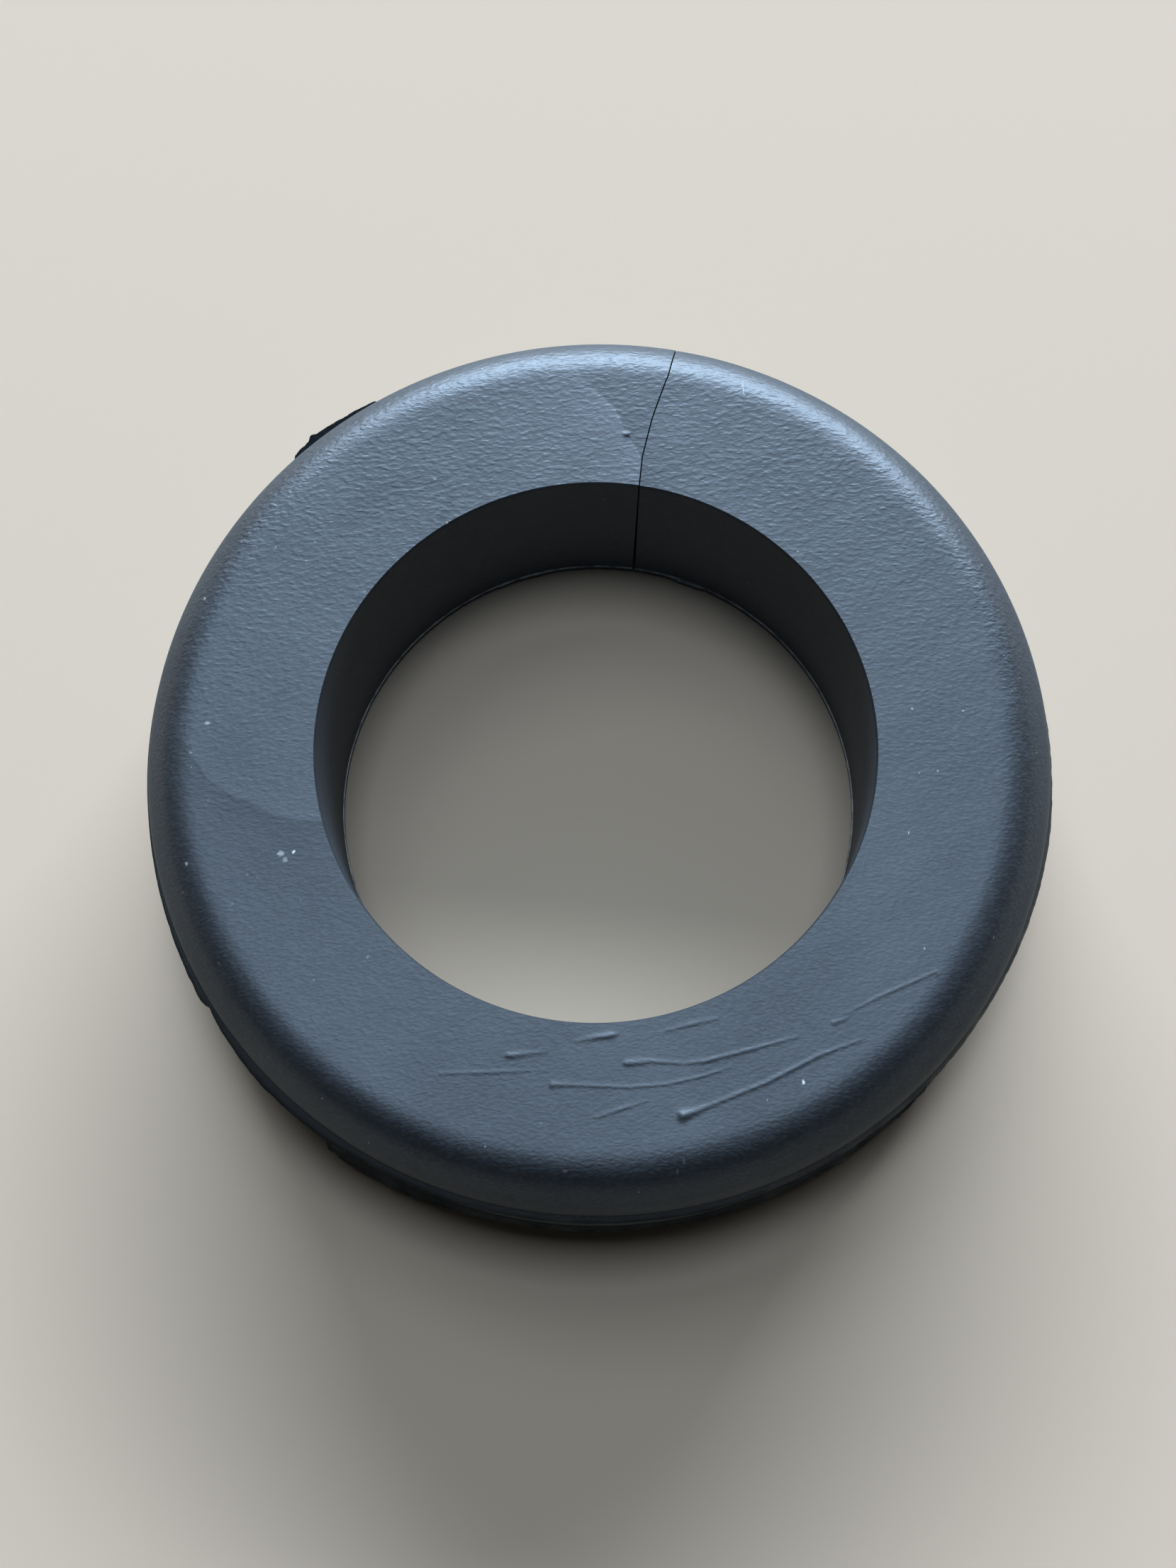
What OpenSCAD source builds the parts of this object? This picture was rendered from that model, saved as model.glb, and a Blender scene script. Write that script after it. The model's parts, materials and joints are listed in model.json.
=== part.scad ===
// Split rubber grommet for a panel hole: two flanges with rounded rims, a panel groove between
// them and a straight bore, slit through one side so that it opens over a cable already in place.
// The bore's axis is Z, the lower flange stands on Z = 0, and sizes are in millimetres.

/* [Bore and hub] */
// Diameter of the straight bore that the cable or pipe passes through
bore_d = 50; // [40:0.5:56]
// Diameter of the groove's floor, which is that of the panel's hole
groove_d = 64; // [58:0.5:70]
// Width of the groove, which is the thickness of the panel
groove_w = 6; // [3:0.25:12]
// Radius in the two corners of the groove's floor
groove_corner_r = 0.8; // [0.2:0.1:1.2]

/* [Flanges] */
// Outer diameter of both flanges
flange_d = 82; // [76:0.5:100]
// Thickness of each flange
flange_t = 7.75; // [6.5:0.25:12]
// Radius of the rounded outer rim, which ends at the mould's parting line
rim_r = 5; // [2:0.25:6]
// Radius of the flange's edge at the mouth of the groove
lip_r = 0.5; // [0.2:0.1:1]

/* [Moulding flash] */
// Thickness of the thin fin that the mould leaves at each parting line
flash_t = 0.25; // [0.1:0.05:0.6]
// How far the mould's upper plates were out of line, which is how far the upper fin stands out
upper_flash_out = 0.7; // [0.2:0.05:1.5]
// Direction in which the upper fin stands out furthest, in degrees from X
upper_flash_azimuth = -85; // [-180:1:180]
// How far the mould's lower plates were out of line, which is how far the lower fin stands out
lower_flash_out = 0.75; // [0.2:0.05:1.5]
// Direction in which the lower fin stands out furthest, in degrees from X
lower_flash_azimuth = -95; // [-180:1:180]
// How far a torn tag of flash stands out from the upper rim
tag_out = 1; // [0.3:0.1:2]
// Radius of the tag's round edge
tag_r = 8; // [4:0.5:12]
// Where the tag is, in degrees from X
tag_azimuth = 126; // [-180:1:180]

/* [Slit] */
// Where the slit meets the bore, in degrees from X
slit_azimuth = 78.5; // [0:0.5:360]
// Turn of the cut away from the radial line there, in degrees
slit_skew = -4; // [-15:0.5:15]
// Gap of the slit at the upper face
slit_top_w = 0.12; // [0.05:0.01:1]
// Gap of the slit at the lower face, where it has sprung open
slit_bottom_w = 0.3; // [0.05:0.01:2]

/* [Hidden] */
rubber_color = [0.15, 0.16, 0.18];
bore_r = bore_d / 2;
groove_r = groove_d / 2;
flange_r = flange_d / 2;
height = 2 * flange_t + groove_w;
// Amount by which a cut runs past the faces that it opens
overcut = 1;
// The slit's length, enough to leave the widest flange on its skewed line
slit_length = flange_d;
$fn = 128;

// Quarter of a disc, filling the corner between the X and Y axes
module quarter_disc(r) {
    intersection() {
        circle(r);
        square(r);
    }
}

// What a quarter round leaves of a square corner: the hollow fillet between the X and Y axes
module corner_fillet(r) {
    difference() {
        square(r);
        translate([r, r]) circle(r);
    }
}

// Half section of the lower flange, with X as the radius and Y as the height
module flange_section() {
    translate([bore_r, 0]) square([flange_r - rim_r - bore_r, flange_t]);
    translate([bore_r, rim_r]) square([flange_r - bore_r, flange_t - rim_r - lip_r]);
    translate([bore_r, rim_r]) square([flange_r - lip_r - bore_r, flange_t - rim_r]);
    translate([flange_r - rim_r, rim_r]) mirror([0, 1]) quarter_disc(rim_r);
    translate([flange_r - lip_r, flange_t - lip_r]) quarter_disc(lip_r);
    translate([groove_r, flange_t]) corner_fillet(groove_corner_r);
}

// Half section of the whole ring: the hub and two flanges that mirror each other
module ring_section() {
    translate([bore_r, 0]) square([groove_r - bore_r, height]);
    flange_section();
    translate([0, height]) mirror([0, 1]) flange_section();
}

// Thin disc of flash whose edge stands out from a flange by the given length, in one direction
module flash_disc(r, out, azimuth) {
    difference() {
        rotate([0, 0, azimuth]) translate([flange_r + out - r, 0, 0]) cylinder(r = r, h = flash_t);
        translate([0, 0, -overcut]) cylinder(r = groove_r, h = flash_t + 2 * overcut);
    }
}

// Fin of the lower parting line, as wide as the flange and out of line with it
module lower_flash() {
    translate([0, 0, rim_r]) flash_disc(flange_r, lower_flash_out, lower_flash_azimuth);
}

// Fin of the upper parting line, with the torn tag beside it
module upper_flash() {
    translate([0, 0, height - rim_r - flash_t]) {
        flash_disc(flange_r, upper_flash_out, upper_flash_azimuth);
        flash_disc(tag_r, tag_out, tag_azimuth);
    }
}

// The knife's cut, from inside the bore to past the flanges, wider at the lower face
module slit_cut() {
    rotate([0, 0, slit_azimuth]) translate([bore_r, 0, 0]) rotate([0, 0, slit_skew])
        translate([-overcut, 0, 0]) rotate([90, 0, 90]) linear_extrude(slit_length)
            polygon([
                [-slit_bottom_w / 2, -overcut],
                [slit_bottom_w / 2, -overcut],
                [slit_top_w / 2, height + overcut],
                [-slit_top_w / 2, height + overcut]
            ]);
}

module grommet() {
    color(rubber_color) difference() {
        union() {
            rotate_extrude() ring_section();
            lower_flash();
            upper_flash();
        }
        slit_cut();
    }
}

grommet();
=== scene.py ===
import json
import math

import bmesh
import bpy
import numpy as np
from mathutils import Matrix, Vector


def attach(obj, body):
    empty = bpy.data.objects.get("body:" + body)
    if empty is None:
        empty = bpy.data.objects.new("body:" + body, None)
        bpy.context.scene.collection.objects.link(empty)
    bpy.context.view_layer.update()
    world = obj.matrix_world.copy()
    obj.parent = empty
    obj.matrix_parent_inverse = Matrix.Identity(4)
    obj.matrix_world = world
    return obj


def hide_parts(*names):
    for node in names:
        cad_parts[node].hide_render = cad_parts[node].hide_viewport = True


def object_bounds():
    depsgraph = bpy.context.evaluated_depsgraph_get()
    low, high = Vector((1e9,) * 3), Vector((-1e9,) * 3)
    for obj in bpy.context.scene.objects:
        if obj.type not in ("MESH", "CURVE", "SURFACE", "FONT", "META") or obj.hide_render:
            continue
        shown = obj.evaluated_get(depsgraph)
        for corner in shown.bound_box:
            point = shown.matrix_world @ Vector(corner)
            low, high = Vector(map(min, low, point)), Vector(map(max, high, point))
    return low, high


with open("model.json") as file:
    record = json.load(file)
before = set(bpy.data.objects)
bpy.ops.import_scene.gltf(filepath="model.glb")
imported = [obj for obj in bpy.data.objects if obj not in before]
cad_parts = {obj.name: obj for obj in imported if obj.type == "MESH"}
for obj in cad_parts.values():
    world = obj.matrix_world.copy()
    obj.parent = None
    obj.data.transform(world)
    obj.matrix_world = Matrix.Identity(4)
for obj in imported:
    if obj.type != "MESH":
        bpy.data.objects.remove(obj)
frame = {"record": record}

cad_low, cad_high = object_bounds()

# Split rubber grommet. The frame is the solid's: Z is the bore's axis, +Y is the far side where
# the slit is, and the lower face lies on Z = 0. Lengths are in millimetres unless said otherwise.
MM = 0.001
mounts = {mount["name"]: mount for mount in frame["record"]["mounts"]}
# Sizes from the frame
BORE_R = mounts["bore"]["dims"]["r_mm"]
HEIGHT = cad_high.z / MM
FLANGE_R = cad_high.y / MM
# Sizes that the frame doesn't hold, as in the part's source
FLANGE_T = 7.75
GROOVE_R = 32.0
GROOVE_CORNER_R = 0.8
RIM_R = 5.0
LIP_R = 0.5
FLASH_T = 0.25
# Width of the small bevel at the bore's edges
EDGE_T = 0.15
# The bore's moulded lip: how far it reaches up from the lower face
BORE_LIP_H = 0.7
# How far the upper half of the mould sat to the right of the lower half
PLATE_SHIFT = 0.2

# Mesh density: columns once round, and rows along each stretch of the section
COLUMNS = 440
BORE_ROWS = 6
BORE_LIP_ROWS = 3
UPPER_FACE_ROWS = 26
LOWER_FACE_ROWS = 10
RIM_ROWS = 16
EDGE_ROWS = 3
MOUTH_ROWS = 4
GROOVE_SIDE_ROWS = 4
GROOVE_CORNER_ROWS = 5
GROOVE_FLOOR_ROWS = 2
# Cuts of an edge near a ridge or a flow front, cuts at torn flash, and how near to a front counts
RIDGE_CUTS = 4
FLASH_CUTS = 4
FRONT_REACH = 0.5
# Faces that meet at more than this angle, in degrees, have a sharp edge
SHARP_ANGLE = 38
# A difference too small to matter
TINY = 1e-4

# The slit: its azimuth at the bore, and by how many degrees it wanders with the radius and leans
# over the height
SLIT_AZIMUTH = 78.55
SLIT_RADII = (25.0, 28.0, 32.0, 36.5, 41.0)
SLIT_WANDER = (0.0, 0.35, -0.25, -1.45, -1.5)
SLIT_LEAN = 0.9
# Its gap at the upper and the lower face, and the power of the depth with which it opens
SLIT_TOP_GAP = 0.12
SLIT_BOTTOM_GAP = 0.30
SLIT_OPENING = 1.5
# How many degrees beside the slit are moved with it
SLIT_FADE = 12.0
# How much lower the upper face lies on the slit's right, and over how many degrees
SLIT_STEP = 0.05
SLIT_STEP_FADE = 6.0

# Fins of flash at the parting lines: azimuth in degrees and how far the fin stands out there
UPPER_FLASH = (
    (-176, 0.0), (-169, 0.10), (-162, 0.24), (-153, 0.44), (-150, 0.52), (-149.2, 0.42),
    (-148.6, 0.18), (-147.5, 0.31), (-145.5, 0.49), (-137, 0.82), (-127, 0.76), (-122, 0.55),
    (-100, 0.64), (-84, 0.66), (-58, 0.58), (-31, 0.5), (-11, 0.6), (4, 0.4), (9, 0.0),
    (117.5, 0.0), (118.5, 0.36), (121, 0.47), (124, 0.55), (127.4, 0.63), (128.2, 0.82),
    (128.8, 0.54), (131.4, 0.37), (132.2, 0.0),
)
LOWER_FLASH = (
    (-131.5, 0.0), (-130.2, 0.5), (-129.6, 0.45), (-128.2, 1.15), (-127.4, 1.0), (-126.6, 1.2),
    (-124, 1.1), (-113, 0.75), (-103, 0.48), (-84, 0.48), (-68, 0.6), (-56, 0.69), (-43, 0.7),
    (-30, 0.45), (-10, 0.2), (0, 0.0),
)
# Thin lip of flash round the lower edge of the bore, with two torn tags
BORE_FLASH = (
    (-180, 0.13), (-90, 0.08), (0, 0.13), (62, 0.15), (64, 0.3), (68, 0.36), (71, 0.17),
    (100, 0.15), (102, 0.22), (108, 0.16), (111, 0.22), (112, 0.13), (180, 0.13),
)
# How uneven the torn edges are, and the seed of each edge's random tears
UPPER_RAGGED = 0.045
UPPER_SEED = 11
LOWER_RAGGED = 0.10
LOWER_SEED = 21
BORE_RAGGED = 0.03
BORE_SEED = 31
# Coarse and fine tears and slow changes of width: the share of each, and its pitch in degrees
COARSE_TEAR = (0.6, 0.72)
FINE_TEAR = (0.4, 0.3)
SLOW_CHANGE = (0.06, 5.0)
# Flash of this width or more is torn in full, and none is narrower than the least
TORN_WIDTH = 0.4
LEAST_WIDTH = 0.01
# How far a fin droops for each millimetre that it stands out, then how much that varies and over
# how many degrees
FIN_DROOP = 0.6
DROOP_CHANGE = (0.1, 2.0)
DROOP_SEED = 41
# The torn tag on the far left curls up instead: between these azimuths, by this much per millimetre
TAG_AZIMUTHS = (116.0, 134.0)
TAG_RISE = 1.3

# Raised lines left by scratches in the mould, on the near part of the upper face.
# Each point is x, y, half width and height.
RIDGES = (
    ((-2.7, -26.5, 0.10, 0.02), (-1.2, -26.3, 0.24, 0.07), (0.4, -26.15, 0.28, 0.10),
     (0.9, -26.1, 0.15, 0.03)),
    ((-8.5, -27.55, 0.26, 0.09), (-7.4, -27.5, 0.22, 0.06), (-5.2, -27.3, 0.13, 0.02)),
    ((-14.4, -28.85, 0.14, 0.03), (-10.0, -28.9, 0.16, 0.04), (-5.3, -28.9, 0.12, 0.01)),
    ((1.6, -28.6, 0.28, 0.09), (3.6, -28.5, 0.22, 0.06), (6.5, -28.8, 0.13, 0.03),
     (8.2, -28.7, 0.2, 0.06), (11.5, -28.0, 0.2, 0.06), (16.3, -26.9, 0.13, 0.03)),
    ((-4.8, -30.2, 0.26, 0.08), (-3.4, -30.25, 0.18, 0.04), (1.6, -30.65, 0.16, 0.04),
     (4.8, -30.55, 0.15, 0.04), (8.1, -29.95, 0.15, 0.04), (10.5, -29.25, 0.12, 0.02)),
    ((-1.2, -33.1, 0.14, 0.03), (0.9, -32.5, 0.17, 0.05), (3.2, -31.9, 0.12, 0.02)),
    ((6.2, -33.25, 0.42, 0.2), (6.9, -33.05, 0.34, 0.12), (8.6, -32.45, 0.2, 0.06),
     (13.5, -30.7, 0.2, 0.07), (18.0, -28.6, 0.2, 0.06), (22.1, -27.25, 0.12, 0.02)),
    ((5.0, -25.95, 0.14, 0.03), (7.6, -25.4, 0.2, 0.05), (9.5, -25.05, 0.15, 0.03)),
    ((19.5, -25.8, 0.22, 0.06), (20.7, -25.45, 0.14, 0.03)),
    ((20.1, -25.3, 0.1, 0.01), (23.6, -23.7, 0.16, 0.04), (28.7, -21.7, 0.16, 0.04)),
)
# How far from a ridge its slope can reach, and how close the points are that it is made from
RIDGE_REACH = 0.8
RIDGE_SPACING = 0.05
# Distances to a ridge are measured to every so many of its points
DISTANCE_STRIDE = 4
# A small blister beside the slit: x, y, radius and height
BLISTER = (4.03, 29.75, 0.28, 0.15)

# Fronts where the rubber met in the mould: how much painted sheen brightens the left side and how far
# that reaches, the same for the right side, where a negative amount is painted shade, how far the left
# side stands up, then x, y along the front
FLOW_FRONTS = (
    ((0.45, 7.0), (-0.7, 6.0), 0.026, (
        (4.96, 24.5), (5.3, 27.2), (5.13, 27.78), (4.59, 28.87), (4.03, 29.68), (3.8, 30.33),
        (3.57, 31.27), (3.15, 32.22), (2.4, 33.19), (1.7, 33.94),
    )),
    ((0.14, 5.0), (-1.0, 14.0), 0.004, (
        (-39.5, 6.0), (-36.0, 0.4), (-34.5, -1.9), (-32.3, -3.5), (-30.9, -4.1), (-28.7, -5.4),
        (-26.8, -5.9), (-24.8, -6.1),
    )),
)
# The step across a front: how soon it is at its full height, and where it has faded out
FLOW_STEP_REACH = 0.2
FLOW_STEP_FADE = 7.0
# Dull streaks of painted shade on the far left of the upper face, also rougher: strength and half width,
# then x, y along each
STREAKS = (
    (0.6, 1.2, ((-22.2, 22.0), (-20.6, 23.6), (-19.2, 24.9), (-16.4, 25.7), (-13.8, 26.1))),
    (0.9, 0.4, ((-13.2, 22.2), (-12.7, 23.3), (-12.1, 24.2))),
)
# Slight waviness of the upper face: height, radians per millimetre along X and Y, and phase
WAVES = (
    (0.010, 0.55, 0.4, 0.0),
    (0.008, -0.7, 0.9, 1.0),
)
# How far below the upper face a place still counts as on it
FACE_DEPTH = 0.3

# Pale specks of dirt stuck to the upper side: x, y, half sizes along X and Y, and strength
SPECKS = (
    (-28.05, -8.95, 0.36, 0.30, 0.45), (-27.65, -9.5, 0.30, 0.32, 0.30), (-26.9, -8.8, 0.19, 0.19, 1.0),
    (16.6, -30.8, 0.15, 0.26, 1.0), (-35.1, 15.5, 0.16, 0.18, 0.35), (27.2, -9.3, 0.10, 0.14, 0.50),
    (28.4, 2.1, 0.12, 0.12, 0.50), (32.9, 1.7, 0.11, 0.11, 0.50), (-28.5, 20.0, 0.13, 0.13, 0.25),
    (-31.7, 20.8, 0.12, 0.14, 0.25), (-24.9, 20.3, 0.14, 0.10, 0.25), (-25.7, 18.6, 0.12, 0.09, 0.25),
    (-4.0, -37.5, 0.26, 0.18, 0.12), (-10.7, -35.2, 0.12, 0.15, 0.30), (-5.9, -33.4, 0.13, 0.13, 0.14),
    (-20.5, -18.5, 0.12, 0.14, 0.25), (34.0, -18.8, 0.12, 0.14, 0.20), (-36.8, -11.9, 0.16, 0.12, 0.14),
    (-36.4, -9.4, 0.18, 0.18, 0.40), (-33.5, -18.4, 0.12, 0.14, 0.14), (15.1, 34.1, 0.08, 1.25, 0.45),
    (6.1, -37.1, 0.16, 0.34, 0.08), (5.5, -37.9, 0.14, 0.34, 0.08), (-34.6, 3.4, 0.36, 0.15, 0.40),
    (-36.1, 0.7, 0.18, 0.12, 0.30), (-34.5, -3.8, 0.13, 0.13, 0.12), (-32.3, -13.3, 0.15, 0.15, 0.12),
    (-26.3, -13.2, 0.13, 0.13, 0.12), (-34.7, -12.5, 0.12, 0.12, 0.10), (-31.0, -10.7, 0.12, 0.12, 0.10),
    (-30.1, -11.0, 0.12, 0.12, 0.10), (-13.8, 26.1, 0.18, 0.12, 0.30), (-19.7, 24.6, 0.13, 0.11, 0.14),
    (-20.4, 15.4, 0.13, 0.13, 0.14), (-18.0, 17.3, 0.15, 0.13, 0.25), (-24.4, -4.8, 0.13, 0.13, 0.25),
    (-21.1, -13.2, 0.14, 0.13, 0.30), (-12.8, 21.7, 0.15, 0.13, 0.40), (22.9, 9.9, 0.13, 0.13, 0.20),
)
# How deep a speck reaches, and the share of its half size within which it shows in full
SPECK_DEPTH = 0.6
SPECK_CORE = 0.5
# How far its outline is warped, and the scale of that per metre
SPECK_WARP = 0.3
SPECK_WARP_SCALE = 4000.0
# Fine dust all over: cells per metre, the share of them without dust, the largest grain as a share
# of its cell, and strength
DUST_SCALE = 560.0
DUST_BARE = 0.35
DUST_SIZE = 0.068
DUST_STRENGTH = 0.45

# Patterns in the rubber: scale per metre, detail and roughness of each noise
CLOUD = (70.0, 5.0, 0.55)
MOTTLE = (900.0, 3.0, 0.6)
GRAIN = (4200.0, 1.0, 0.5)
SCALES = (2500.0, 1.5, 0.5)
# Values of the scales' noise between which a scale rises
SCALE_EDGES = (0.42, 0.72)
# The grain is drawn out along X, and its scales grow higher from the first of these Y places to the
# second, by these shares
GRAIN_STRETCH = (0.5, 1, 1)
GRAIN_Y = (-10.0, 25.0)
GRAIN_SHARES = (0.06, 0.34)
# Patches of painted highlight along the top of the bore's lip: two values of the mottle, and how strong
# the highlight is at each
LEDGE_PATCHES = (0.35, 0.6, 0.35, 1.0)

# Colours, as linear red, green, blue and alpha
DEEP_RUBBER = (0.006, 0.0069, 0.0084, 1)
BLOOMED_RUBBER = (0.019, 0.0213, 0.0258, 1)
MOTTLED_RUBBER = (0.026, 0.029, 0.034, 1)
GRAIN_TOPS = (0.033, 0.037, 0.043, 1)
# Painted sheen on the bright side of the flow fronts, and painted shade on their dark side and along the
# dull streaks
PAINTED_FLOW_SHEEN = (0.085, 0.097, 0.112, 1)
PAINTED_FLOW_SHADE = (0.002, 0.0023, 0.003, 1)
BORE_WALL = (0.005, 0.0105, 0.018, 1)
# Painted shade: near black on the flash fins and on the underside of the bore's lip
PAINTED_FLASH_SHADE = (0.003, 0.0034, 0.0042, 1)
# Painted highlight along the top edge of the bore's lip
PAINTED_LEDGE_HIGHLIGHT = (0.60, 0.58, 0.52, 1)
PALE_DUST = (0.75, 0.77, 0.75, 1)
# Layers of colour over the deep rubber: the pattern, its values where the layer starts and where it
# is strongest, the layer's share there, and its colour
COLOUR_LAYERS = (
    ("cloud", 0.3, 0.7, 1.0, BLOOMED_RUBBER),
    ("mottle", 0.58, 0.75, 0.6, MOTTLED_RUBBER),
    ("grain", 0.45, 0.70, 0.7, GRAIN_TOPS),
    # Painted sheen and painted shade from the flow fronts and the dull streaks
    ("flow", 0.0, 1.0, 1.0, PAINTED_FLOW_SHEEN),
    ("flow", 0.0, -1.0, 0.75, PAINTED_FLOW_SHADE),
    ("bore_wall", 0.0, 1.0, 1.0, BORE_WALL),
    # Painted shade on the flash fins and under the bore's lip
    ("torn", 0.0, 1.0, 1.0, PAINTED_FLASH_SHADE),
    # Painted highlight along the top edge of the bore's lip
    ("ledge_dust", 0.0, 1.0, 1.0, PAINTED_LEDGE_HIGHLIGHT),
    ("speck", 0.0, 1.0, 0.85, PALE_DUST),
)
# Roughness, as a sum: the pattern, two of its values, and what it adds at each of them
ROUGHNESS_LAYERS = (
    ("mottle", 0.3, 0.7, 0.51, 0.55),
    ("cloud", 0.3, 0.7, 0.025, -0.025),
    ("speck", 0.0, 1.0, 0.0, 0.3),
    ("bore_wall", 0.0, 1.0, 0.0, 0.1),
    ("flow", 0.0, -1.0, 0.0, 0.08),
    ("past_face", 0.0, 1.2, 0.0, -0.05),
    ("past_face", 2.6, 4.5, 0.0, 0.32),
    ("fin", 0.0, 1.0, 0.0, -0.42),
)
# Relief of the grain: its depth, its strength, and the share of each pattern
GRAIN_DEPTH = 0.11
GRAIN_STRENGTH = 0.8
RELIEF_LAYERS = (
    ("scales", 1.0),
    ("grain", 0.3),
    ("mottle", 0.2),
)
# Gloss of the rubber, with its tint
RUBBER_GLOSS = 1.0
GLOSS_TINT = (0.885, 1.0, 1.08, 1)

# Camera, as fitted to the bore's two edges in the photograph, with angles in degrees
SENSOR_LONG_SIDE = 36.0
PHOTO_LONG_SIDE = 2212
FOCAL_PIXELS = 3118.65
CAMERA_DISTANCE = 196.87
CAMERA_TILT = 16.594
CAMERA_TURN = (15.542, 0.830, -2.124)
CLIP_START = 10.0

# Soft lamps: azimuth and elevation, half width and half height in degrees, and radiance
LAMPS = {
    "window": (82, 25, 29, 7, 28.0),
    "sky": (100, 60, 15, 10, 2.7),
    "overhead": (82, 82, 8, 8, 9.1),
}
LAMP_COLOUR = (0.82, 1.0, 1.24)
DIM_ROOM = (0.006, 0.0075, 0.010, 1)
# In metres: how far the lamps are, the flat floor's radius, its shift to the near side, and the
# radius of its curved edge
LAMP_DISTANCE = 3.0
FLOOR_R = 3.0
FLOOR_SHIFT = 1.4
COVE_R = 0.9
# How far the floor's edge turns up, in radians, and the rows and columns that it is made from
COVE_TURN = 1.3
COVE_ROWS = 14
FLOOR_COLUMNS = 96
PALE_FLOOR = (0.65, 0.52, 0.385, 1)
FLOOR_ROUGHNESS = 0.9
FLOOR_GLOSS = 0.1


def straight(start, end, count):
    """Section points from start towards end, without the last."""
    share = np.arange(count)[:, None] / count
    return np.array(start) + share * (np.array(end) - np.array(start))


def arc(centre, radius, start, end, count):
    """Section points on an arc from one angle towards another, in degrees, without the last."""
    angle = np.radians(start + (end - start) * np.arange(count) / count)
    return np.array(centre) + radius * np.stack([np.cos(angle), np.sin(angle)], axis=1)


def half_section(face_rows):
    """Half of the ring's section, from the middle of the bore to the middle of the groove.

    The rows hold radius, height above the middle, share of the fin and share of the bore's lip.
    """
    top = HEIGHT / 2
    parting = top - RIM_R
    wall = top - FLANGE_T
    face_start = (BORE_R + EDGE_T, top)
    face_end = (FLANGE_R - RIM_R, top)
    corner = GROOVE_R + GROOVE_CORNER_R
    corner_z = wall - GROOVE_CORNER_R
    stretches = (
        (straight((BORE_R, 0), (BORE_R, top - BORE_LIP_H), BORE_ROWS), 0, 0),
        (np.array([(BORE_R, top - BORE_LIP_H)]), 0, 0),
        (straight((BORE_R, top - BORE_LIP_H + EDGE_T / 3), (BORE_R, top), BORE_LIP_ROWS), 0, 1),
        (straight(face_start, face_end, face_rows), 0, 0),
        (arc((FLANGE_R - RIM_R, parting), RIM_R, 90, 0, RIM_ROWS), 0, 0),
        (np.array([(FLANGE_R, parting)]), 0, 0),
        (np.array([(FLANGE_R, parting - FLASH_T / 4), (FLANGE_R, parting - 3 * FLASH_T / 4)]), 1, 0),
        (straight((FLANGE_R, parting - FLASH_T), (FLANGE_R, wall + LIP_R), EDGE_ROWS), 0, 0),
        (arc((FLANGE_R - LIP_R, wall + LIP_R), LIP_R, 0, -90, MOUTH_ROWS), 0, 0),
        (straight((FLANGE_R - LIP_R, wall), (corner, wall), GROOVE_SIDE_ROWS), 0, 0),
        (arc((corner, corner_z), GROOVE_CORNER_R, 90, 180, GROOVE_CORNER_ROWS), 0, 0),
        (straight((GROOVE_R, corner_z), (GROOVE_R, 0), GROOVE_FLOOR_ROWS), 0, 0),
    )
    rows = [np.column_stack([points, np.full(len(points), fin), np.full(len(points), lip)])
            for points, fin, lip in stretches]
    return np.vstack(rows)


def section():
    """The whole section as rows of radius, height, upper fin, lower fin and lower bore lip."""
    radius, height, fin, _ = half_section(UPPER_FACE_ROWS).T
    nothing = np.zeros(len(radius))
    upper = np.column_stack([radius, HEIGHT / 2 + height, fin, nothing, nothing])
    radius, height, fin, lip = half_section(LOWER_FACE_ROWS)[::-1].T
    nothing = np.zeros(len(radius))
    lower = np.column_stack([radius, HEIGHT / 2 - height, nothing, fin, lip])
    return np.vstack([upper, lower])


def ridge_points(ridge):
    """Close points along a ridge, with its half width and height at each."""
    marks = np.array(ridge)
    steps = np.linalg.norm(np.diff(marks[:, :2], axis=0), axis=1)
    length = np.concatenate([[0], np.cumsum(steps)])
    along = np.linspace(0, length[-1], int(length[-1] / RIDGE_SPACING) + 2)
    return np.column_stack([np.interp(along, length, marks[:, k]) for k in range(4)])


RIDGE_POINTS = [ridge_points(ridge) for ridge in RIDGES]


def ridge_distance(x, y):
    """Distance from each place on the upper face to the nearest ridge or blister."""
    best = np.hypot(x - BLISTER[0], y - BLISTER[1])
    for points in RIDGE_POINTS:
        for px, py, _, _ in points[::DISTANCE_STRIDE]:
            best = np.minimum(best, np.hypot(x - px, y - py))
    return best


def ridge_height(x, y):
    """How far the ridges and the blister raise the upper face."""
    height = BLISTER[3] * np.exp(-((x - BLISTER[0]) ** 2 + (y - BLISTER[1]) ** 2) / BLISTER[2] ** 2)
    for points in RIDGE_POINTS:
        low = points[:, :2].min(axis=0) - RIDGE_REACH
        high = points[:, :2].max(axis=0) + RIDGE_REACH
        near = np.flatnonzero((x > low[0]) & (x < high[0]) & (y > low[1]) & (y < high[1]))
        if len(near) == 0:
            continue
        away = (x[near, None] - points[None, :, 0]) ** 2 + (y[near, None] - points[None, :, 1]) ** 2
        bumps = points[None, :, 3] * np.exp(-away / points[None, :, 2] ** 2)
        height[near] = np.maximum(height[near], bumps.max(axis=1))
    return height


def front_side(front, x, y):
    """Distance to a flow front, and which side of it a place is on: 1 on its left, -1 on its right."""
    marks = np.array(front)
    best = np.full(len(x), np.inf)
    side = np.zeros(len(x))
    for (ax, ay), (bx, by) in zip(marks[:-1], marks[1:]):
        dx, dy = bx - ax, by - ay
        share = np.clip(((x - ax) * dx + (y - ay) * dy) / (dx * dx + dy * dy), 0, 1)
        away = np.hypot(x - ax - share * dx, y - ay - share * dy)
        nearer = away < best
        best = np.where(nearer, away, best)
        cross = dx * (y - ay) - dy * (x - ax)
        side = np.where(nearer, np.sign(cross), side)
    return best, side


def wavering(azimuth, pitch, seed):
    """Smooth random values from -1 to 1 round the ring, one new value every pitch degrees."""
    count = int(round(360 / pitch))
    values = np.random.RandomState(seed).uniform(-1, 1, count)
    return np.interp(np.mod(azimuth, 360) / pitch, np.arange(count + 1), np.append(values, values[0]))


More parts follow.
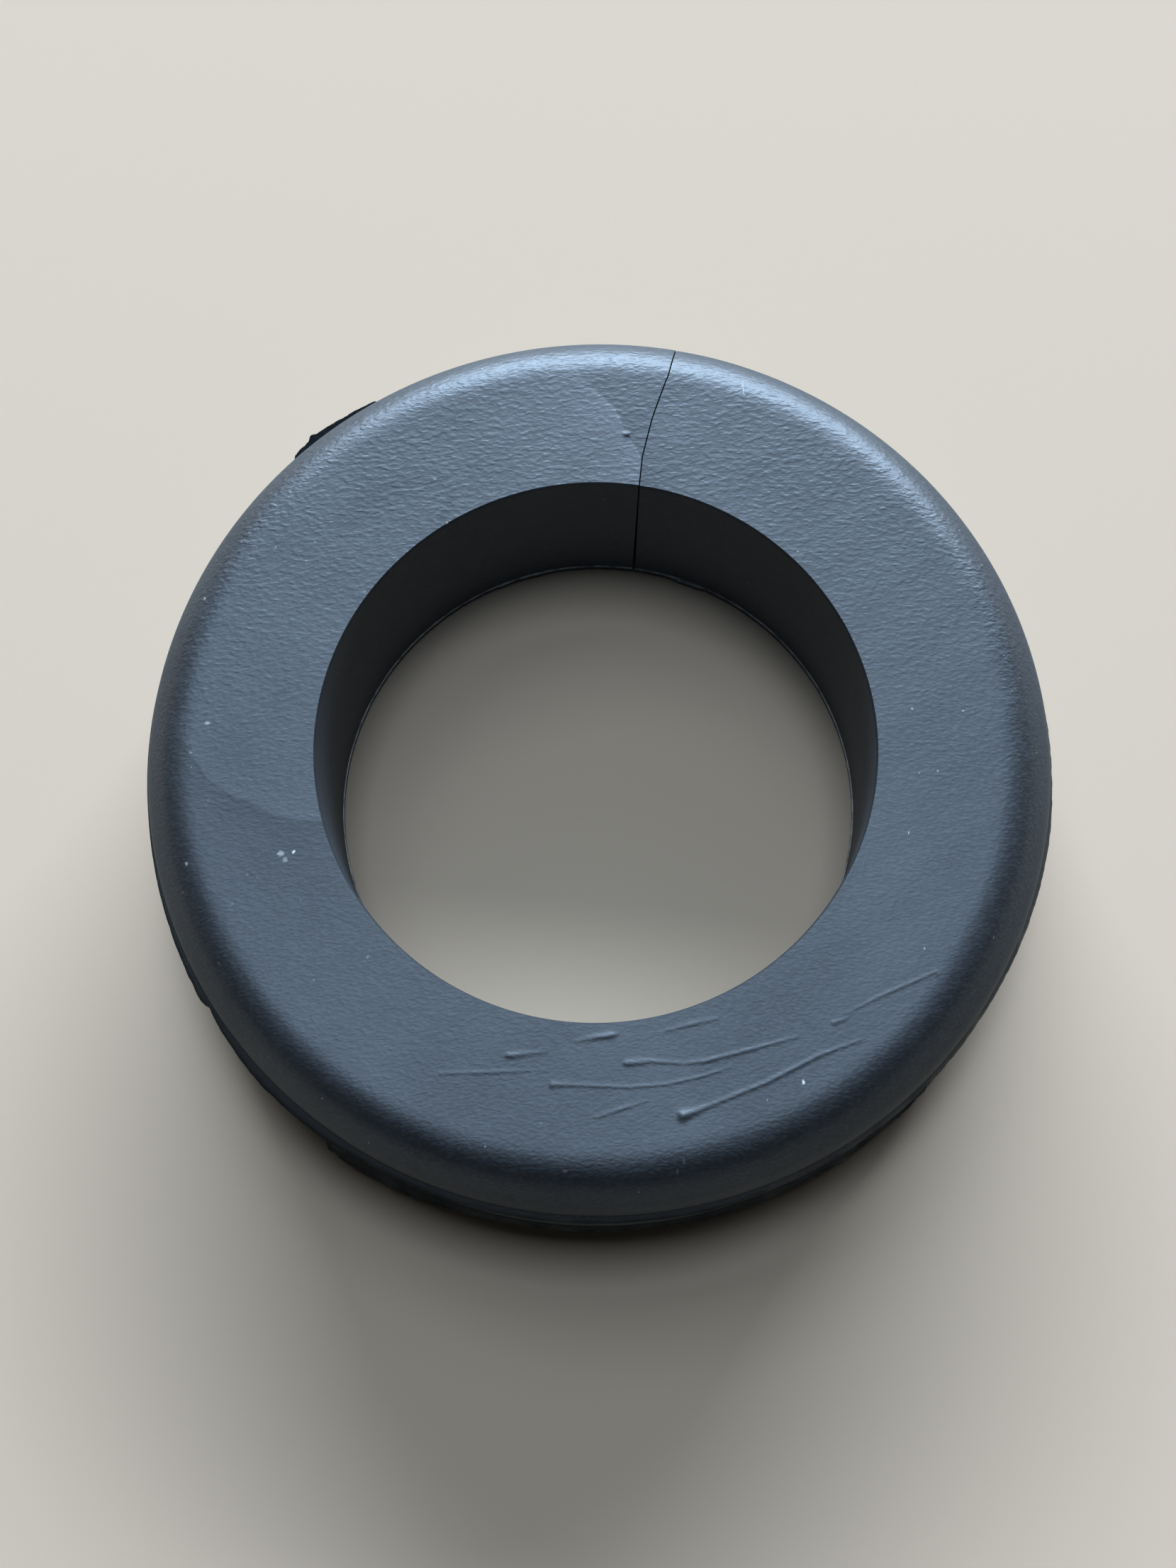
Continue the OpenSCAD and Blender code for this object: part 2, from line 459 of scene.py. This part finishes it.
def flash_width(table, azimuth, ragged, seed):
    """How far flash stands out at each azimuth, with an edge torn by up to the ragged length."""
    marks = np.array(table)
    wrapped = np.mod(azimuth + 180, 360) - 180
    width = np.interp(wrapped, marks[:, 0], marks[:, 1])
    tear = COARSE_TEAR[0] * wavering(azimuth, COARSE_TEAR[1], seed)
    tear = tear + FINE_TEAR[0] * wavering(azimuth, FINE_TEAR[1], seed + 1)
    slow = SLOW_CHANGE[0] * wavering(azimuth, SLOW_CHANGE[1], seed + 2)
    torn = ragged * np.clip(width / TORN_WIDTH, 0, 1) * tear
    return np.maximum(width * (1 + slow) + torn, LEAST_WIDTH)


def unrolled_grid(rows):
    """The ring unrolled from the slit: X is degrees from the slit, Y the radius and Z the height."""
    mesh = bmesh.new()
    layers = [mesh.verts.layers.float.new(name) for name in ("upper_fin", "lower_fin", "bore_lip")]
    columns = []
    for turn in np.linspace(0, 360, COLUMNS + 1):
        column = []
        for row in rows:
            vert = mesh.verts.new((turn, row[0], row[1]))
            for layer, share in zip(layers, row[2:]):
                vert[layer] = share
            column.append(vert)
        columns.append(column)
    for left, right in zip(columns[:-1], columns[1:]):
        for k in range(len(rows)):
            after = (k + 1) % len(rows)
            mesh.faces.new((left[k], left[after], right[after], right[k]))
    for column in (columns[0], columns[-1]):
        mesh.faces.new(column)
    return mesh, layers


def split_edges(mesh, edges, cuts):
    """Splits edges and the faces that lie between them."""
    bmesh.ops.subdivide_edges(mesh, edges=edges, cuts=cuts, use_grid_fill=True)


def refine(mesh, layers):
    """Makes the mesh finer at the ridges, the flow fronts and the torn edges of the flash."""
    upper = [face for face in mesh.faces
             if len(face.verts) == 4 and all(vert.co.z > HEIGHT - TINY for vert in face.verts)]
    middles = np.array([face.calc_center_median() for face in upper])
    azimuth = np.radians(SLIT_AZIMUTH + middles[:, 0])
    x = middles[:, 1] * np.cos(azimuth)
    y = middles[:, 1] * np.sin(azimuth)
    close = ridge_distance(x, y) < RIDGE_REACH
    for _, _, _, line in FLOW_FRONTS:
        close |= front_side(line, x, y)[0] < FRONT_REACH
    detailed = {face for face, chosen in zip(upper, close) if chosen}
    around = [edge for edge in mesh.edges if not detailed.isdisjoint(edge.link_faces)]
    split_edges(mesh, around, RIDGE_CUTS)
    tips = []
    for edge in mesh.edges:
        start, end = edge.verts
        torn = any(start[layer] > 0.5 and end[layer] > 0.5 for layer in layers)
        if torn and abs(start.co.x - end.co.x) > TINY:
            tips.append(edge)
    split_edges(mesh, tips, FLASH_CUTS)


def slit_shift(turn, radius, height):
    """How many degrees the slit moves the rubber beside it, and how far it lowers the upper half."""
    from_slit = np.minimum(turn, 360 - turn)
    side = np.where(turn < 180, 1.0, -1.0)
    closeness = np.clip(1 - from_slit / SLIT_FADE, 0, 1)
    closeness = closeness * closeness * (3 - 2 * closeness)
    depth = 1 - height / HEIGHT
    wander = np.interp(radius, SLIT_RADII, SLIT_WANDER) + SLIT_LEAN * depth
    gap = SLIT_TOP_GAP + (SLIT_BOTTOM_GAP - SLIT_TOP_GAP) * depth ** SLIT_OPENING
    opening = np.degrees(gap / 2 / radius)
    lowered = SLIT_STEP * (1 - np.minimum(from_slit, SLIT_STEP_FADE) / SLIT_STEP_FADE)
    lowered = lowered * (side < 0) * (height > HEIGHT / 2)
    return closeness * (wander + side * opening), lowered


def face_marks(x, y):
    """How far the marks on the upper face raise it, and how much painted sheen or painted shade the flow
    fronts and streaks put on it.
    """
    raised = ridge_height(x, y)
    flow = np.zeros(len(x))
    for (left, left_reach), (right, right_reach), stand_up, line in FLOW_FRONTS:
        away, side = front_side(line, x, y)
        change = np.where(side > 0, left, right)
        reach = np.where(side > 0, left_reach, right_reach)
        flow += change * np.clip(1 - away / reach, 0, 1) ** 2
        step = np.clip(away / FLOW_STEP_REACH, 0, 1) * np.clip(1 - away / FLOW_STEP_FADE, 0, 1)
        raised += stand_up / 2 * side * step
    for strength, half_width, line in STREAKS:
        away, _ = front_side(line, x, y)
        flow -= strength * np.exp(-(away / half_width) ** 2)
    for height, along_x, along_y, phase in WAVES:
        raised += height * np.sin(along_x * x + along_y * y + phase)
    return raised, flow


def rolled_up(turn, radius, height, upper_fin, lower_fin, bore_lip):
    """Real places of the unrolled points and the painted flow sheen at each, with the slit, flash and
    face marks.
    """
    azimuth = SLIT_AZIMUTH + turn
    above_parting = height > HEIGHT - RIM_R - FLASH_T / 8
    rim_share = above_parting * np.clip((radius - FLANGE_R + RIM_R) / RIM_R, 0, 1)
    fin = upper_fin * flash_width(UPPER_FLASH, azimuth, UPPER_RAGGED, UPPER_SEED)
    fin = fin + lower_fin * flash_width(LOWER_FLASH, azimuth, LOWER_RAGGED, LOWER_SEED)
    radius = radius + fin - bore_lip * flash_width(BORE_FLASH, azimuth, BORE_RAGGED, BORE_SEED)
    on_tag = (upper_fin > 0) & (azimuth > TAG_AZIMUTHS[0]) & (azimuth < TAG_AZIMUTHS[1])
    droop = FIN_DROOP + DROOP_CHANGE[0] * wavering(azimuth, DROOP_CHANGE[1], DROOP_SEED)
    height = height - fin * np.where(on_tag, -TAG_RISE, droop)

    turned, lowered = slit_shift(turn, radius, height)
    azimuth = np.radians(azimuth + turned)
    height = height - lowered
    x = radius * np.cos(azimuth) + PLATE_SHIFT * rim_share
    y = radius * np.sin(azimuth)
    flow = np.zeros(len(x))
    on_face = np.flatnonzero(height > HEIGHT - FACE_DEPTH)
    raised, flow[on_face] = face_marks(x[on_face], y[on_face])
    height[on_face] += raised
    return np.column_stack([x, y, height]), flow


def make_ring():
    """The moulded ring as one mesh."""
    mesh, layers = unrolled_grid(section())
    refine(mesh, layers)
    mesh.verts.ensure_lookup_table()
    unrolled = np.array([vert.co for vert in mesh.verts])
    shares = np.array([[vert[layer] for layer in layers] for vert in mesh.verts])
    places, flow = rolled_up(*unrolled.T, *shares.T)
    places[:, 2] = np.clip(places[:, 2], 0, None)
    for vert, place in zip(mesh.verts, places):
        vert.co = place * MM
    bmesh.ops.recalc_face_normals(mesh, faces=mesh.faces)
    bmesh.ops.triangulate(mesh, faces=[face for face in mesh.faces if len(face.verts) > 4])
    data = bpy.data.meshes.new("grommet_ring")
    mesh.to_mesh(data)
    mesh.free()
    fin = shares[:, :2].max(axis=1)
    # Per point: the amount of painted sheen and painted shade from the flow fronts and streaks, and the
    # share of fin
    for name, values in (("flow", flow), ("fin", fin)):
        attribute = data.attributes.new(name, "FLOAT", "POINT")
        attribute.data.foreach_set("value", values.astype(np.float32))
    data.shade_smooth()
    data.set_sharp_from_angle(angle=math.radians(SHARP_ANGLE))
    ring = bpy.data.objects.new("grommet_ring", data)
    bpy.context.scene.collection.objects.link(ring)
    return ring


class Nodes:
    """Short ways to add and join shader nodes in one tree."""

    def __init__(self, tree):
        self.tree = tree

    def add(self, kind, inputs=None, **settings):
        node = self.tree.nodes.new(kind)
        for name, value in settings.items():
            setattr(node, name, value)
        for name, value in (inputs or {}).items():
            socket = node.inputs[name]
            if isinstance(value, bpy.types.NodeSocket):
                self.tree.links.new(value, socket)
            else:
                socket.default_value = value
        return node

    def noise(self, vector, scale, detail=2.0, roughness=0.5, output="Fac"):
        return self.add("ShaderNodeTexNoise", {
            "Vector": vector, "Scale": scale, "Detail": detail, "Roughness": roughness,
        }).outputs[output]

    def span(self, value, low, high, to_low=0.0, to_high=1.0):
        return self.add("ShaderNodeMapRange", {
            "Value": value, "From Min": low, "From Max": high, "To Min": to_low, "To Max": to_high,
        }).outputs["Result"]

    def math(self, operation, first, second=0.0, third=0.0):
        inputs = {0: first, 1: second, 2: third}
        return self.add("ShaderNodeMath", inputs, operation=operation).outputs[0]

    def vector(self, operation, first, second):
        return self.add("ShaderNodeVectorMath", {0: first, 1: second}, operation=operation).outputs[0]

    def length(self, vector):
        return self.add("ShaderNodeVectorMath", {0: vector}, operation="LENGTH").outputs["Value"]

    def attribute(self, name):
        return self.add("ShaderNodeAttribute", attribute_name=name).outputs["Fac"]

    def mix(self, share, first, second):
        return self.add("ShaderNodeMix", {0: share, 6: first, 7: second}, data_type="RGBA").outputs[2]


def upper_height(x, y):
    """Height of the upper side, on its face or its rounded rim."""
    past_face = max(math.hypot(x, y) - FLANGE_R + RIM_R, 0)
    return HEIGHT - RIM_R + math.sqrt(max(RIM_R ** 2 - past_face ** 2, 0))


def speck_share(nodes, place):
    """How far each place is covered by fine dust or by one of the specks."""
    dust = nodes.add("ShaderNodeTexVoronoi", {"Vector": place, "Scale": DUST_SCALE}).outputs
    size = nodes.span(dust["Color"], DUST_BARE, 1.0, 0.0, DUST_SIZE)
    covered = nodes.math("MULTIPLY", nodes.math("LESS_THAN", dust["Distance"], size), DUST_STRENGTH)
    push = nodes.noise(place, SPECK_WARP_SCALE, output="Color")
    push = nodes.vector("SUBTRACT", push, (0.5, 0.5, 0.5))
    push = nodes.vector("MULTIPLY", push, (SPECK_WARP * MM, SPECK_WARP * MM, SPECK_WARP * MM))
    warped = nodes.vector("ADD", place, push)
    for x, y, half_x, half_y, strength in SPECKS:
        centre = (x * MM, y * MM, upper_height(x, y) * MM)
        shrink = (1 / (half_x * MM), 1 / (half_y * MM), 1 / (SPECK_DEPTH * MM))
        away = nodes.vector("MULTIPLY", nodes.vector("SUBTRACT", warped, centre), shrink)
        shown = nodes.span(nodes.length(away), 1.0, SPECK_CORE, 0.0, strength)
        covered = nodes.math("MAXIMUM", covered, shown)
    return covered


def surface_patterns(nodes):
    """The named patterns that the rubber's colour, roughness and relief are made from."""
    place = nodes.add("ShaderNodeTexCoord").outputs["Object"]
    along = nodes.add("ShaderNodeSeparateXYZ", {"Vector": place}).outputs
    radius = nodes.length(nodes.vector("MULTIPLY", place, (1, 1, 0)))
    stretched = nodes.vector("MULTIPLY", place, GRAIN_STRETCH)
    scales = nodes.span(nodes.noise(stretched, *SCALES), *SCALE_EDGES)
    scale_height = nodes.span(along["Y"], GRAIN_Y[0] * MM, GRAIN_Y[1] * MM, *GRAIN_SHARES)
    mottle = nodes.noise(place, *MOTTLE)
    fin = nodes.attribute("fin")
    edge = EDGE_T / 3
    in_bore = nodes.math("LESS_THAN", radius, (BORE_R + edge) * MM)
    on_lip = nodes.math("LESS_THAN", radius, (BORE_R - edge) * MM)
    at_ledge = nodes.math("COMPARE", along["Z"], BORE_LIP_H * MM, edge * MM)
    ledge = nodes.math("MULTIPLY", at_ledge, in_bore)
    return {
        "cloud": nodes.noise(place, *CLOUD),
        "mottle": mottle,
        "grain": nodes.noise(stretched, *GRAIN),
        "scales": nodes.math("MULTIPLY", scales, scale_height),
        # Painted sheen and painted shade of the flow fronts and streaks, read from the mesh
        "flow": nodes.attribute("flow"),
        "fin": fin,
        # Where the torn flash is: the fins and the bore's lip, which get painted shade
        "torn": nodes.math("MAXIMUM", on_lip, fin),
        "bore_wall": nodes.math("SUBTRACT", in_bore, on_lip),
        # Painted highlight along the top edge of the bore's lip, in patches
        "ledge_dust": nodes.math("MULTIPLY", ledge, nodes.span(mottle, *LEDGE_PATCHES)),
        "past_face": nodes.span(radius, (FLANGE_R - RIM_R) * MM, FLANGE_R * MM, 0.0, RIM_R),
        "speck": speck_share(nodes, place),
    }


def rubber_colour(nodes, patterns):
    """Nearly black rubber with the layers of colour over it."""
    colour = DEEP_RUBBER
    for name, start, strongest, share, tone in COLOUR_LAYERS:
        colour = nodes.mix(nodes.span(patterns[name], start, strongest, 0.0, share), colour, tone)
    return colour


def rubber_roughness(nodes, patterns):
    """The sum of what the patterns add to the roughness."""
    rough = 0.0
    for name, first, second, at_first, at_second in ROUGHNESS_LAYERS:
        added = nodes.span(patterns[name], first, second, at_first, at_second)
        rough = nodes.math("ADD", rough, added)
    return rough


def rubber_relief(nodes, patterns):
    """The fine moulded grain, which is coarser on the far side."""
    relief = 0.0
    for name, share in RELIEF_LAYERS:
        relief = nodes.math("MULTIPLY_ADD", patterns[name], share, relief)
    bump = nodes.add("ShaderNodeBump", {
        "Strength": GRAIN_STRENGTH, "Distance": GRAIN_DEPTH * MM, "Height": relief,
    })
    return bump.outputs["Normal"]


def rubber_material():
    """Black rubber with a fine moulded grain, faint cloudy bloom and specks of dust."""
    material = bpy.data.materials.new("black_rubber")
    material.use_nodes = True
    nodes = Nodes(material.node_tree)
    patterns = surface_patterns(nodes)
    shader = material.node_tree.nodes["Principled BSDF"]
    shader.inputs["Specular IOR Level"].default_value = RUBBER_GLOSS
    shader.inputs["Specular Tint"].default_value = GLOSS_TINT
    links = material.node_tree.links
    links.new(rubber_colour(nodes, patterns), shader.inputs["Base Color"])
    links.new(rubber_roughness(nodes, patterns), shader.inputs["Roughness"])
    links.new(rubber_relief(nodes, patterns), shader.inputs["Normal"])
    return material


def make_floor():
    """A plain pale floor that reaches furthest on the near side and curves up at its edge."""
    mesh = bmesh.new()
    profile = [(FLOOR_R / 3, 0), (2 * FLOOR_R / 3, 0)]
    for turn in np.linspace(0, COVE_TURN, COVE_ROWS):
        profile.append((FLOOR_R + COVE_R * math.sin(turn), COVE_R * (1 - math.cos(turn))))
    around = np.linspace(0, 2 * math.pi, FLOOR_COLUMNS, endpoint=False)
    centre = mesh.verts.new((0, -FLOOR_SHIFT, 0))
    previous = None
    for radius, height in profile:
        places = [(radius * math.cos(turn), radius * math.sin(turn) - FLOOR_SHIFT) for turn in around]
        ring = [mesh.verts.new((x, y, height)) for x, y in places]
        for k in range(len(ring)):
            after = (k + 1) % len(ring)
            if previous is None:
                mesh.faces.new((centre, ring[k], ring[after]))
            else:
                mesh.faces.new((previous[k], ring[k], ring[after], previous[after]))
        previous = ring
    data = bpy.data.meshes.new("floor")
    mesh.to_mesh(data)
    mesh.free()
    data.shade_smooth()
    material = bpy.data.materials.new("pale_floor")
    material.use_nodes = True
    shader = material.node_tree.nodes["Principled BSDF"]
    shader.inputs["Base Color"].default_value = PALE_FLOOR
    shader.inputs["Roughness"].default_value = FLOOR_ROUGHNESS
    shader.inputs["Specular IOR Level"].default_value = FLOOR_GLOSS
    data.materials.append(material)
    floor = bpy.data.objects.new("floor", data)
    bpy.context.scene.collection.objects.link(floor)


def softbox(name, azimuth, elevation, half_width, half_height, radiance):
    """A soft rectangular lamp that faces the object, with its direction and half sizes in degrees."""
    lamp = bpy.data.lights.new(name, "AREA")
    lamp.shape = "RECTANGLE"
    lamp.size = 2 * LAMP_DISTANCE * math.tan(math.radians(half_width))
    lamp.size_y = 2 * LAMP_DISTANCE * math.tan(math.radians(half_height))
    lamp.color = LAMP_COLOUR
    lamp.energy = radiance * math.pi * lamp.size * lamp.size_y
    holder = bpy.data.objects.new(name, lamp)
    around = math.radians(azimuth)
    up = math.radians(elevation)
    away = Vector((math.cos(up) * math.cos(around), math.cos(up) * math.sin(around), math.sin(up)))
    holder.location = away * LAMP_DISTANCE
    holder.rotation_mode = "QUATERNION"
    holder.rotation_quaternion = away.to_track_quat("Z", "Y")
    holder.visible_camera = False
    bpy.context.scene.collection.objects.link(holder)


def make_light():
    """A broad soft light low on the far side, two weaker ones above it, and a dim room around them."""
    for name, sizes in LAMPS.items():
        softbox(name, *sizes)
    world = bpy.data.worlds.new("room")
    world.use_nodes = True
    background = world.node_tree.nodes["Background"]
    background.inputs["Color"].default_value = DIM_ROOM
    background.inputs["Strength"].default_value = 1.0
    bpy.context.scene.world = world


def make_camera():
    """The camera at the photograph's place, with its centre line through the picture's middle."""
    lens = bpy.data.cameras.new("camera")
    lens.sensor_width = SENSOR_LONG_SIDE
    lens.lens = FOCAL_PIXELS / PHOTO_LONG_SIDE * SENSOR_LONG_SIDE
    lens.clip_start = CLIP_START * MM
    camera = bpy.data.objects.new("camera", lens)
    tilt = math.radians(CAMERA_TILT)
    camera.location = (
        0,
        -CAMERA_DISTANCE * math.sin(tilt) * MM,
        (HEIGHT + CAMERA_DISTANCE * math.cos(tilt)) * MM,
    )
    camera.rotation_euler = [math.radians(turn) for turn in CAMERA_TURN]
    bpy.context.scene.collection.objects.link(camera)
    bpy.context.scene.camera = camera


make_camera()
ring = make_ring()
ring.data.materials.append(rubber_material())
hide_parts("grommet")
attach(ring, "root")
make_floor()
make_light()
bpy.context.scene.view_settings.view_transform = "Standard"
